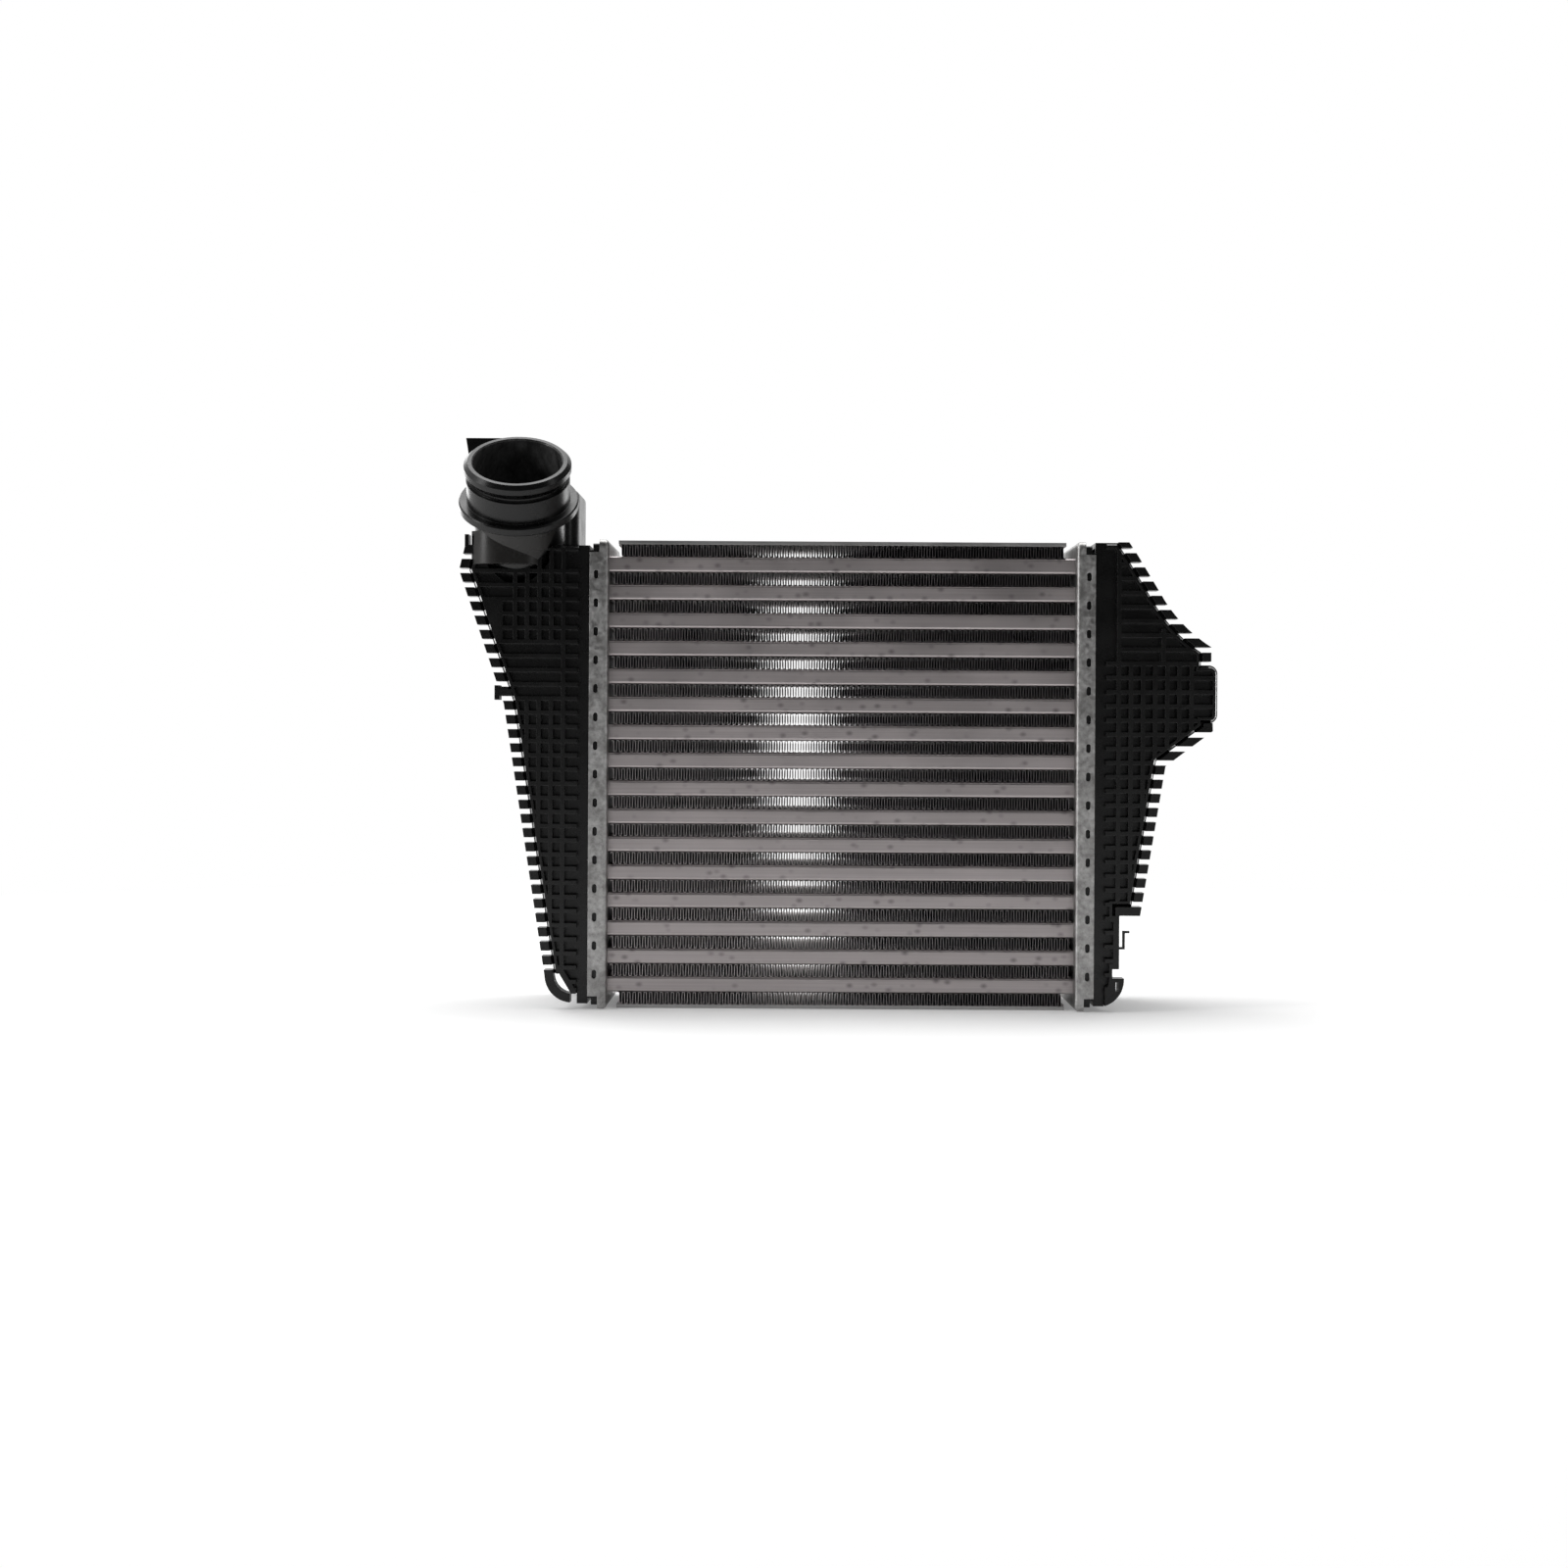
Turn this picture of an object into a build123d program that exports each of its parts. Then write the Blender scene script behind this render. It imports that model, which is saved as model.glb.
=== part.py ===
from build123d import *

import math
import os

# A charge-air cooler (intercooler): a brazed aluminium core of flat tubes and corrugated fins
# between two pressed header pans, with a moulded plastic tank crimped into each pan.
# Millimetres. +X runs from the inlet tank to the outlet tank, +Z is up and -Y is the front.
# The origin is the middle of the flat underside of the core.

# ---- core ----
core_width = 216.2
tube_count = 16
tube_height = 7.3
tube_depth = 60.0
tube_wall = 0.5
tube_corner = 1.2
tube_stand_out = 2.0
fin_height = 5.7
fin_wave = 6.3
fin_sheet = 0.2
fin_crest = 0.3
fin_end_gap = 0.8
outer_fin_end_gap = 4.1
turbulator_wave = 5.0
turbulator_recess = 6.0
side_plate_thickness = 1.7
side_plate_groove_width = 5.0
side_plate_groove_depth = 0.5
side_plate_groove_spacing = 30.0

# ---- header pans ----
header_width = 8.8
header_sheet = 1.5
header_bend = 2.0
header_corner = 3.0
header_lip = 3.0
header_corner_notch_width = 4.5
header_corner_notch_height = 6.0
tube_slot_clearance = 0.05
crimp_slot_count = 17
crimp_slot_pitch = 13.2
crimp_slot_height = 4.1
crimp_slot_width = 2.1
crimp_slot_setback = 3.0

# ---- what both tanks share ----
foot_thickness = 4.2
foot_clearance = 0.3
foot_corner = 1.5
lip_clearance = 0.3
tank_wall = 2.5
mouth_clearance = 0.3
crimp_tool_recess = 5.2
edge_slope_width = 1.5
edge_slope_depth = 6.0
contour_rib = 1.2
rib_width = 2.0
rib_row_pitch = 6.54
rib_column_pitch = 5.6
tooth_length = 4.1
tooth_gap = 2.4
tooth_depth = 9.0
toe_bulge = 0.3
foot_block_low = 2.2
foot_block_high = 14.0

# ---- inlet tank outline: reach is measured outward from the header pan ----
inlet_top = 214.5
inlet_top_reach = 56.4
inlet_widest_height = 202.5
inlet_widest_reach = 60.3
inlet_knee_height = 141.0
inlet_knee_reach = 39.3
inlet_toe_height = 15.5
inlet_toe_reach = 19.8
inlet_toe_radius = 12.5
inlet_bottom = 3.0
inlet_toe_tip_reach = 8.0
inlet_toe_slot_low_reach = 6.8
inlet_toe_slot_low = 6.0
inlet_toe_slot_high_reach = 13.0
inlet_toe_slot_high = 16.3
inlet_first_rib_reach = 11.9
inlet_rib_row = 156.5
inlet_plain_band_low = 143.0
inlet_plain_band_high = 169.0
inlet_cross_rib_top = 203.0
inlet_wedge_reach = 39.9
inlet_wedge_height = 190.2
neck_pad_near = 23.0
neck_pad_far = 54.6
neck_pad_low = 205.2
neck_pad_high = 220.5
neck_pad_bulge = 6.4
neck_pad_root = 1.0
inlet_hood_front = -20.0
inlet_hood_top = 242.0
inlet_hood_near = 7.0
inlet_hood_far = 51.0
inlet_hood_corner = 9.0
inlet_hood_root = 4.0
inlet_hood_edge = 3.0
hose_guide_back = 8.5
hose_guide_thickness = 2.5
hose_guide_outer_reach = 63.0
hose_guide_lower_reach = 60.4
hose_guide_end_reach = 31.0
hose_guide_top = 268.4
hose_guide_height = 16.0
lug_reach = 56.8
lug_width = 1.8
lug_top = 219.0
hook_height = 146.0
hook_reach = 43.6
hook_head_height = 6.7
hook_head_width = 2.3
hook_waist_height = 3.2

# ---- outlet tank outline ----
outlet_top = 217.0
outlet_top_reach = 12.6
outlet_shoulder_height = 211.4
outlet_shoulder_reach = 19.1
outlet_flare_start_height = 190.0
outlet_flare_start_reach = 32.0
outlet_flare_end_height = 168.8
outlet_flare_end_reach = 53.5
outlet_flare_sag = 1.2
outlet_bump_reach = 57.1
outlet_bump_top = 160.5
outlet_bump_bottom = 133.6
outlet_bump_corner = 4.0
outlet_under_bump_reach = 54.4
outlet_under_bump_height = 130.0
outlet_tuck_height = 113.6
outlet_tuck_reach = 32.6
outlet_lower_reach = 21.3
outlet_waist_reach = 11.7
outlet_waist_top = 44.5
outlet_toe_reach = 14.0
outlet_toe_radius = 11.0
outlet_toe_height = 15.5
outlet_bottom = 2.3
outlet_toe_slot_near = 10.2
outlet_toe_slot_far = 11.5
outlet_toe_slot_low = 9.5
outlet_toe_slot_high = 13.8
outlet_notch_reach = 8.6
outlet_notch_high = 19.8
outlet_first_rib_reach = 10.9
outlet_rib_row = 154.4
outlet_cross_rib_start = 162.0
outlet_short_rib_reach = 31.5
outlet_short_rib_top = 177.0
clip_low = 29.0
clip_height = 8.5
clip_reach = 16.4
clip_gap = 1.6
clip_sheet = 1.0
clip_depth = 3.0

# ---- hose ports ----
port_radius = 23.9
port_bead_radius = 24.7
port_bead_height = 5.0
port_bead_slope = 1.8
port_bore_radius = 20.5
port_bore_depth = 24.0
port_bore_taper = 3.0
port_edge = 0.6
port_lead = 20.0
port_groove_radius = 22.3
port_groove_taper = 2.6
port_groove_floor = 1.6
collar_radius = 27.7
collar_thickness = 4.1
neck_radius = 21.3
neck_wall = 2.8
inlet_port_reach = 34.0
inlet_port_foot_height = 216.1
inlet_port_foot_back = 20.6
inlet_port_rise = 44.0
inlet_port_tilt = 35.0
inlet_port_lean = 1.7
outlet_port_reach = 29.0
outlet_port_height = 149.0
outlet_port_stand_out = 34.0

# ---- worked out from the sizes above ----
tube_pitch = tube_height + fin_height
core_height = 2 * side_plate_thickness + tube_count * tube_height + (tube_count + 1) * fin_height
header_inner = core_width / 2
header_outer = header_inner + header_width
cavity_half_depth = tube_depth / 2 + mouth_clearance
wall_half_depth = cavity_half_depth + tank_wall
half_header_depth = wall_half_depth + lip_clearance + header_lip + header_sheet
header_depth = 2 * half_header_depth
foot_half_depth = half_header_depth - header_sheet - foot_clearance
foot_low = header_sheet + foot_clearance
foot_high = core_height - foot_low
neck_low = header_sheet + header_lip + lip_clearance
neck_high = core_height - neck_low
gasket_thickness = header_width - 2 * header_sheet - foot_thickness
fin_length = core_width - 2 * fin_end_gap
outer_fin_length = core_width - 2 * outer_fin_end_gap
tube_length = core_width + 2 * (header_sheet + tube_stand_out)
buried = 2 * header_width
mouth_low = side_plate_thickness + fin_height - mouth_clearance
mouth_high = core_height - mouth_low
front = -half_header_depth
back = half_header_depth

inlet_side = -1
outlet_side = 1


def tube_centre(index):
    return side_plate_thickness + fin_height + tube_height / 2 + index * tube_pitch


def write(part, label):
    part.label = label
    export_step(part, f"parts/{label}.step")


def wave_points(length, wave, height, sheet, crest):
    """Closed outline of a corrugated strip with narrow flat crests, from its middle."""
    count = int(length // wave)
    start = -count * wave / 2
    upper = []
    lower = []
    for index in range(count):
        left = start + index * wave
        middle = left + wave / 2
        upper += [(left, sheet), (middle - crest / 2, height), (middle + crest / 2, height)]
        lower += [(left + crest / 2, 0), (middle, height - sheet), (left + wave - crest / 2, 0)]
    upper.append((start + count * wave, sheet))
    return upper + lower[::-1]


def make_fin(length):
    """One fin strip, standing on the height of the origin."""
    with BuildPart() as fin:
        with BuildSketch(Plane.XZ):
            with BuildLine():
                Polyline(
                    *wave_points(length, fin_wave, fin_height, fin_sheet, fin_crest), close=True
                )
            make_face()
        extrude(amount=tube_depth / 2, both=True)
    return fin.part


def make_tube():
    """One flat tube, its axis on the X axis."""
    with BuildPart() as tube:
        with BuildSketch(Plane.YZ):
            RectangleRounded(tube_depth, tube_height, tube_corner)
            RectangleRounded(
                tube_depth - 2 * tube_wall,
                tube_height - 2 * tube_wall,
                tube_corner - tube_wall,
                mode=Mode.SUBTRACT,
            )
        extrude(amount=tube_length / 2, both=True)
    return tube.part


def make_turbulator():
    """The corrugated insert of one tube, its axis on the X axis."""
    inside = tube_height - 2 * tube_wall
    width = tube_depth - 2 * tube_corner
    points = wave_points(width, turbulator_wave, inside, fin_sheet, fin_crest)
    with BuildPart() as turbulator:
        with BuildSketch(Plane.YZ):
            with BuildLine():
                Polyline(*[(y, z - inside / 2) for y, z in points], close=True)
            make_face()
        extrude(amount=tube_length / 2 - turbulator_recess, both=True)
    return turbulator.part


def make_side_plate(inner_face, outer_face, label):
    outward = math.copysign(1, outer_face - inner_face)
    with BuildPart() as plate:
        with BuildSketch(Plane.XY.offset(inner_face)):
            Rectangle(outer_fin_length, tube_depth)
        extrude(amount=outer_face - inner_face)
        with BuildSketch(Plane.XY.offset(outer_face)):
            with GridLocations(0, side_plate_groove_spacing, 1, 2):
                SlotOverall(outer_fin_length - 4 * side_plate_groove_width, side_plate_groove_width)
        extrude(amount=-outward * side_plate_groove_depth, mode=Mode.SUBTRACT)
    write(plate.part, label)


def make_header(side, label):
    middle = core_height / 2
    inner_depth = header_depth - 2 * header_sheet
    inner_height = core_height - 2 * header_sheet
    slot_x = side * (header_outer - crimp_slot_setback)
    notch_x = side * (header_outer - header_corner_notch_width / 2)
    with BuildPart() as header:
        with BuildSketch(Plane.YZ.offset(side * header_inner)):
            with Locations((0, middle)):
                RectangleRounded(header_depth, core_height, header_corner)
        extrude(amount=side * header_width)
        core_face = header.faces().sort_by(Axis.X)[0 if side > 0 else -1]
        fillet(core_face.edges(), header_bend)
        with BuildSketch(Plane.YZ.offset(side * (header_inner + header_sheet))):
            with Locations((0, middle)):
                RectangleRounded(inner_depth, inner_height, header_corner - header_sheet)
        extrude(amount=side * (header_width - 2 * header_sheet), mode=Mode.SUBTRACT)
        with BuildSketch(Plane.YZ.offset(side * header_outer)):
            with Locations((0, middle)):
                Rectangle(inner_depth - 2 * header_lip, inner_height - 2 * header_lip)
        extrude(amount=-side * 2 * header_sheet, mode=Mode.SUBTRACT)
        with BuildSketch(Plane.YZ.offset(side * (header_inner - header_sheet))):
            for index in range(tube_count):
                with Locations((0, tube_centre(index))):
                    RectangleRounded(
                        tube_depth + 2 * tube_slot_clearance,
                        tube_height + 2 * tube_slot_clearance,
                        tube_corner + tube_slot_clearance,
                    )
        extrude(amount=side * 3 * header_sheet, mode=Mode.SUBTRACT)
        with BuildSketch(Plane.XZ):
            with Locations((slot_x, middle)):
                with GridLocations(0, crimp_slot_pitch, 1, crimp_slot_count):
                    SlotOverall(crimp_slot_height, crimp_slot_width, rotation=90)
            with Locations((notch_x, 0), (notch_x, core_height)):
                Rectangle(header_corner_notch_width, 2 * header_corner_notch_height)
        extrude(amount=header_depth, both=True, mode=Mode.SUBTRACT)
    write(header.part, label)


def make_gasket(side, label):
    middle = core_height / 2
    with BuildPart() as gasket:
        with BuildSketch(Plane.YZ.offset(side * (header_inner + header_sheet))):
            with Locations((0, middle)):
                RectangleRounded(2 * foot_half_depth, foot_high - foot_low, foot_corner)
                Rectangle(2 * cavity_half_depth, mouth_high - mouth_low, mode=Mode.SUBTRACT)
        extrude(amount=side * gasket_thickness)
    write(gasket.part, label)


def at(side, reach):
    return side * (header_outer + reach)


def bar(side, near, far, low, high, mode=Mode.SUBTRACT):
    """A rectangle in the tank's front view, between two reaches and two heights."""
    with Locations((at(side, (near + far) / 2), (low + high) / 2)):
        Rectangle(far - near, high - low, mode=mode)


def inlet_outline():
    """Front view of the inlet tank to the tips of its teeth, run on into the header pan."""
    side = inlet_side
    toe_end = (at(side, inlet_toe_reach - inlet_toe_radius), inlet_bottom)
    toe_start = (at(side, inlet_toe_reach), inlet_toe_height)
    with BuildSketch() as sketch:
        with BuildLine():
            Polyline(
                toe_start,
                (at(side, inlet_knee_reach), inlet_knee_height),
                (at(side, inlet_widest_reach), inlet_widest_height),
                (at(side, inlet_top_reach), inlet_top + tooth_length),
                (at(side, -buried), inlet_top + tooth_length),
                (at(side, -buried), inlet_bottom),
                toe_end,
            )
            ThreePointArc(
                toe_end,
                (
                    at(side, inlet_toe_reach - toe_bulge * inlet_toe_radius),
                    inlet_bottom + toe_bulge * (inlet_toe_height - inlet_bottom),
                ),
                toe_start,
            )
        make_face()
    return sketch.sketch


def outlet_outline():
    """Front view of the outlet tank to the tips of its teeth, without its bump."""
    side = outlet_side
    toe_end = (at(side, outlet_toe_reach - outlet_toe_radius), outlet_bottom)
    toe_start = (at(side, outlet_toe_reach), outlet_toe_height)
    flare_start = (at(side, outlet_flare_start_reach), outlet_flare_start_height)
    flare_end = (at(side, outlet_flare_end_reach), outlet_flare_end_height)
    flare_middle = (
        (flare_start[0] + flare_end[0]) / 2 - outlet_flare_sag,
        (flare_start[1] + flare_end[1]) / 2 - outlet_flare_sag,
    )
    with BuildSketch() as sketch:
        with BuildLine():
            Polyline(
                toe_start,
                (at(side, outlet_toe_reach), outlet_waist_top),
                (at(side, outlet_lower_reach), outlet_waist_top),
                (at(side, outlet_tuck_reach), outlet_tuck_height),
                (at(side, outlet_under_bump_reach), outlet_under_bump_height),
                (at(side, outlet_flare_end_reach), outlet_bump_top),
                flare_end,
            )
            ThreePointArc(flare_end, flare_middle, flare_start)
            Polyline(
                flare_start,
                (at(side, outlet_shoulder_reach), outlet_shoulder_height),
                (at(side, outlet_top_reach), outlet_top + tooth_length),
                (at(side, -buried), outlet_top + tooth_length),
                (at(side, -buried), outlet_bottom),
                toe_end,
            )
            ThreePointArc(
                toe_end,
                (
                    at(side, outlet_toe_reach - toe_bulge * outlet_toe_radius),
                    outlet_bottom + toe_bulge * (outlet_toe_height - outlet_bottom),
                ),
                toe_start,
            )
        make_face()
    return sketch.sketch


def inset(plan, amount):
    with BuildSketch() as sketch:
        add(plan)
        offset(amount=-amount, kind=Kind.INTERSECTION)
    return sketch.sketch


def inlet_wall_plan(outline):
    """The inlet tank's side wall in front view: a slot parts it from the tip of the toe."""
    side = inlet_side
    with BuildSketch() as sketch:
        add(inset(outline, tooth_length))
        with BuildLine():
            Polyline(
                (at(side, inlet_toe_slot_low_reach), -inlet_toe_slot_low),
                (at(side, inlet_toe_slot_low_reach), inlet_toe_slot_low),
                (at(side, inlet_toe_slot_high_reach), inlet_toe_slot_high),
                (at(side, inlet_widest_reach), inlet_toe_slot_high),
                (at(side, inlet_widest_reach), -inlet_toe_slot_low),
                close=True,
            )
        make_face(mode=Mode.SUBTRACT)
    return sketch.sketch


def outlet_wall_plan(outline):
    """The outlet tank's side wall in front view: its bump stands past the teeth."""
    side = outlet_side
    with BuildSketch() as sketch:
        add(inset(outline, tooth_length))
        with Locations(
            (at(side, outlet_bump_reach / 2), (outlet_bump_top + outlet_bump_bottom) / 2)
        ):
            RectangleRounded(
                outlet_bump_reach, outlet_bump_top - outlet_bump_bottom, outlet_bump_corner
            )
        bar(side, 0, outlet_waist_reach, outlet_notch_high, outlet_waist_top, mode=Mode.ADD)
    return sketch.sketch


def rib_rows(first):
    """Heights of all the cross ribs, in step with one of them."""
    below = int(first // rib_row_pitch)
    above = int((core_height - first) // rib_row_pitch)
    return [first + index * rib_row_pitch for index in range(-below, above + 1)]


def rib_columns(first, far):
    count = int((far - first) // rib_column_pitch) + 1
    return [first + index * rib_column_pitch for index in range(count)]


def inlet_pockets(wall_plan):
    side = inlet_side
    half = rib_width / 2
    with BuildSketch() as sketch:
        add(inset(wall_plan, edge_slope_width + contour_rib))
        bar(side, -2 * buried, crimp_tool_recess, -buried, 2 * core_height)
        for reach in rib_columns(inlet_first_rib_reach, inlet_widest_reach):
            tall = reach == inlet_first_rib_reach
            low_top = core_height if tall else inlet_plain_band_low
            bar(side, reach - half, reach + half, 0, low_top)
            if reach < inlet_wedge_reach:
                bar(side, reach - half, reach + half, inlet_plain_band_high, core_height)
        for height in rib_rows(inlet_rib_row):
            near = 0 if height < inlet_cross_rib_top else inlet_wedge_reach
            bar(side, near, inlet_widest_reach, height - half, height + half)
        bar(side, inlet_wedge_reach, inlet_widest_reach, inlet_plain_band_high, inlet_wedge_height)
        bar(side, neck_pad_near, neck_pad_far, neck_pad_low, core_height)
    return sketch.sketch


def outlet_pockets(wall_plan):
    side = outlet_side
    half = rib_width / 2
    with BuildSketch() as sketch:
        add(inset(wall_plan, edge_slope_width + contour_rib))
        bar(side, -2 * buried, crimp_tool_recess, -buried, 2 * core_height)
        far = outlet_bump_reach - 2 * rib_column_pitch
        for reach in rib_columns(outlet_first_rib_reach, far):
            tall = reach == outlet_first_rib_reach
            top = core_height if tall else outlet_cross_rib_start
            bar(side, reach - half, reach + half, 0, top)
        bar(
            side,
            outlet_short_rib_reach - half,
            outlet_short_rib_reach + half,
            outlet_cross_rib_start,
            outlet_short_rib_top,
        )
        for height in rib_rows(outlet_rib_row):
            near = 0 if height < outlet_cross_rib_start else outlet_first_rib_reach
            bar(side, near, outlet_bump_reach, height - half, height + half)
    return sketch.sketch


def teeth_plan(side, outline, wall_plan, rows, top, toe_height, bare_low, bare_high):
    """The band outside the side wall, cut into teeth above the toe and left off a bare stretch."""
    half = tooth_gap / 2
    with BuildSketch() as sketch:
        add(outline)
        add(wall_plan, mode=Mode.SUBTRACT)
        bar(side, -2 * buried, crimp_tool_recess, -buried, 2 * core_height)
        bar(side, 0, 2 * core_height, top, 2 * core_height)
        for height in rows:
            if height > toe_height:
                bar(side, 0, 2 * core_height, height - half, height + half)
        if bare_high > bare_low:
            bar(side, 0, 2 * core_height, bare_low, bare_high)
    return sketch.sketch


def extrude_between(plan, near_y, far_y, mode=Mode.ADD):
    """Turns a front-view plan into a solid between two depths, inside the current BuildPart."""
    with BuildSketch(Plane.XZ.offset(-near_y)) as section:
        add(plan)
    extrude(section.sketch, amount=near_y - far_y, mode=mode)


def trimmed(side, plan, near):
    with BuildSketch() as sketch:
        add(plan)
        bar(side, -2 * buried, near, -buried, 2 * core_height)
    return sketch.sketch


def rectangle_plan(side, near, far, low, high):
    with BuildSketch() as sketch:
        bar(side, near, far, low, high, mode=Mode.ADD)
    return sketch.sketch


def tank_shell(side, wall_plan, slope_low):
    """Side wall, shoulder and foot around the air space, before teeth and rib pockets."""
    foot_near = -header_sheet - foot_thickness
    lip_plan = rectangle_plan(side, foot_near, crimp_tool_recess, neck_low, neck_high)
    block_plan = rectangle_plan(
        side, lip_clearance, crimp_tool_recess, foot_block_low, foot_block_high
    )
    with BuildPart() as shell:
        extrude_between(trimmed(side, wall_plan, crimp_tool_recess), front, back)
        slope_edges(shell, at(side, crimp_tool_recess), slope_low)
        extrude_between(trimmed(side, wall_plan, lip_clearance), -wall_half_depth, wall_half_depth)
        extrude_between(lip_plan, -wall_half_depth, wall_half_depth)
        extrude_between(block_plan, -wall_half_depth, wall_half_depth)
        with BuildSketch(Plane.YZ.offset(at(side, foot_near))) as foot:
            with Locations((0, core_height / 2)):
                RectangleRounded(2 * foot_half_depth, foot_high - foot_low, foot_corner)
        extrude(foot.sketch, amount=side * foot_thickness)
        cut_cavity(side, wall_plan)
    return shell.part


def slope_edges(shell, near_x, low):
    """Slopes the side wall's outer edges back, front and rear, above a height."""
    for end in (0, -1):
        face = shell.faces().sort_by(Axis.Y)[end]
        edges = [
            edge
            for edge in face.edges()
            if abs(edge.center().X - near_x) > edge_slope_width and edge.center().Z > low
        ]
        chamfer(edges, length=edge_slope_width, length2=edge_slope_depth, reference=face)


def cut_cavity(side, wall_plan):
    plan = cavity_plan(side, wall_plan)
    extrude_between(plan, -cavity_half_depth, cavity_half_depth, mode=Mode.SUBTRACT)


def cut_pockets(pockets):
    """Cuts the rib pockets into the front and back faces, inside the current BuildPart."""
    extrude_between(pockets, front, -wall_half_depth, mode=Mode.SUBTRACT)
    extrude_between(pockets, wall_half_depth, back, mode=Mode.SUBTRACT)


def cavity_plan(side, wall_plan):
    """The air space in front view, joined to the mouth that faces the tubes."""
    with BuildSketch() as sketch:
        add(trimmed(side, inset(wall_plan, tank_wall), 0))
        bar(side, -buried, crimp_tool_recess - tank_wall, mouth_low, mouth_high, mode=Mode.ADD)
    return sketch.sketch


def profile_plane(frame):
    """The plane through a port's axis: its first axis is radial and its second is axial."""
    return Plane(origin=frame.origin, x_dir=frame.x_dir, z_dir=-frame.y_dir)


def port_outside(frame, start, rim):
    """Neck, collar, spigot and end bead, solid, from start to rim along the frame's axis."""
    collar_top = rim - port_lead
    bead_base = rim - port_bead_height
    groove_base = bead_base - port_groove_taper - port_groove_floor
    with BuildSketch(profile_plane(frame)) as section:
        with BuildLine():
            Polyline(
                (0, start),
                (neck_radius, start),
                (neck_radius, collar_top - collar_thickness),
                (collar_radius - port_edge, collar_top - collar_thickness),
                (collar_radius, collar_top - collar_thickness + port_edge),
                (collar_radius, collar_top - port_edge),
                (collar_radius - port_edge, collar_top),
                (port_radius, collar_top),
                (port_radius, groove_base),
                (port_groove_radius, groove_base),
                (port_groove_radius, groove_base + port_groove_floor),
                (port_radius, bead_base),
                (port_bead_radius, bead_base + port_edge),
                (port_bead_radius, rim - port_bead_slope),
                (port_bead_radius - port_bead_slope, rim),
                (0, rim),
                close=True,
            )
        make_face()
    revolve(section.sketch, axis=Axis(frame.origin, frame.z_dir))


def port_bore(frame, start, rim):
    """The air way through a port, wide at its mouth and narrower in its neck."""
    neck_bore = neck_radius - neck_wall
    bore_end = rim - port_bore_depth
    with BuildSketch(profile_plane(frame)) as section:
        with BuildLine():
            Polyline(
                (0, start),
                (neck_bore, start),
                (neck_bore, bore_end - port_bore_taper),
                (port_bore_radius, bore_end),
                (port_bore_radius, rim - port_edge),
                (port_bore_radius + 2 * port_edge, rim + port_edge),
                (0, rim + port_edge),
                close=True,
            )
        make_face()
    revolve(section.sketch, axis=Axis(frame.origin, frame.z_dir), mode=Mode.SUBTRACT)


def inlet_port_frame():
    tilt = math.radians(inlet_port_tilt)
    lean = math.tan(math.radians(inlet_port_lean))
    return Plane(
        origin=(at(inlet_side, inlet_port_reach), -inlet_port_foot_back, inlet_port_foot_height),
        x_dir=(1, 0, -lean),
        z_dir=(lean, -math.sin(tilt), math.cos(tilt)),
    )


def hood_plan(margin):
    """Plan view of the hood behind the inlet port, drawn in from its outside by a margin."""
    side = inlet_side
    middle = (at(side, inlet_hood_near) + at(side, inlet_hood_far)) / 2
    with BuildSketch() as sketch:
        with Locations((middle, (inlet_hood_front + wall_half_depth) / 2)):
            RectangleRounded(
                inlet_hood_far - inlet_hood_near - 2 * margin,
                wall_half_depth - inlet_hood_front - 2 * margin,
                inlet_hood_corner - margin,
            )
    return sketch.sketch


def hose_guide_plan():
    """The flat plate above the hood that keeps the hose clear of its neighbours."""
    side = inlet_side
    end = at(side, hose_guide_end_reach)
    hood = at(side, inlet_hood_far - inlet_hood_corner)
    root = inlet_hood_top - inlet_hood_root
    low = hose_guide_top - hose_guide_height
    with BuildSketch() as sketch:
        with BuildLine():
            Polyline(
                (at(side, hose_guide_outer_reach), hose_guide_top),
                (end, hose_guide_top),
                (end, root),
                (hood, root),
                (hood, low),
                (at(side, hose_guide_lower_reach), low),
                close=True,
            )
        make_face()
    return sketch.sketch


def lug_plan():
    """The small upright lug on the inlet tank's top tooth."""
    low = inlet_top - tooth_length
    near = lug_reach - lug_width / 2
    return rectangle_plan(inlet_side, near, near + lug_width, low, lug_top)


def neck_pad():
    """The bulge through which the inlet port's neck meets the tank's front face."""
    root = front + neck_pad_root
    near = (at(inlet_side, neck_pad_near), root)
    far = (at(inlet_side, neck_pad_far), root)
    with BuildPart() as pad:
        with BuildSketch(Plane.XY.offset(neck_pad_low)):
            with BuildLine():
                ThreePointArc(near, ((near[0] + far[0]) / 2, front - neck_pad_bulge), far)
                Line(far, near)
            make_face()
        extrude(amount=neck_pad_high - neck_pad_low)
    return pad.part


def hook_plan():
    """The small T-shaped lug on the inlet tank's sloping edge."""
    side = inlet_side
    waist_end = hook_reach - hook_head_width
    half_waist = hook_waist_height / 2
    half_head = hook_head_height / 2
    with BuildSketch() as sketch:
        bar(
            side,
            hook_reach - 2 * tooth_length,
            waist_end,
            hook_height - half_waist,
            hook_height + half_waist,
            mode=Mode.ADD,
        )
        bar(
            side,
            waist_end,
            hook_reach,
            hook_height - half_head,
            hook_height + half_head,
            mode=Mode.ADD,
        )
    return sketch.sketch


def inlet_hood():
    """The hollow hood that carries air from the tank into the port."""
    floor = inlet_top - inlet_hood_root
    with BuildPart() as hood:
        with BuildSketch(Plane.XY.offset(floor)):
            add(hood_plan(0))
        extrude(amount=inlet_hood_top - floor)
        fillet(hood.faces().sort_by(Axis.Z)[-1].edges(), inlet_hood_edge)
    return hood.part


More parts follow.
